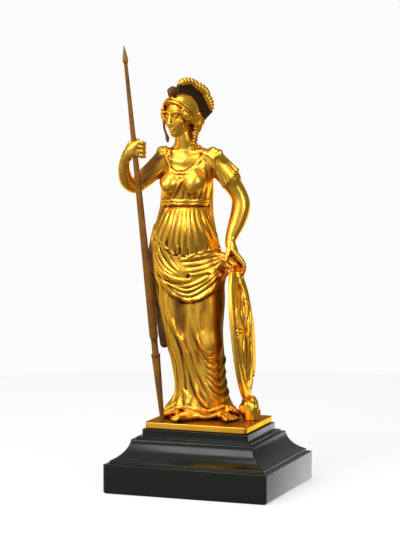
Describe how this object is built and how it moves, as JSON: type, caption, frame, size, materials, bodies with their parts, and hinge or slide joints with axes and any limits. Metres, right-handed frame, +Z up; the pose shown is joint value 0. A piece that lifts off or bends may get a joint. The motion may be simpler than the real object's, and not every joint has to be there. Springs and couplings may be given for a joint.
{
  "type": "athena statuette",
  "caption": "Gilt bronze statuette of standing Athena in a crested helmet, holding a tall spear and resting a hand on an oval shield, on a stepped black plinth.",
  "frame": {"origin": "centre of the plinth's underside", "axes": "+Z up, -Y towards the plinth's long front, which the statuette looks out over; +X to a viewer's right"},
  "size_m": [0.091, 0.0774, 0.2354],
  "materials": {
    "gilding": "fire gilding over bronze, bright on the high places and worn to brown in the hollows",
    "black_wood": "ebonised and polished to a gloss"
  },
  "bodies": {
    "root": {"plinth": "black_wood", "base_plate": "gilding", "figure": "gilding", "shield": "gilding", "rock": "gilding", "spear": "gilding"}
  },
  "joints": []
}
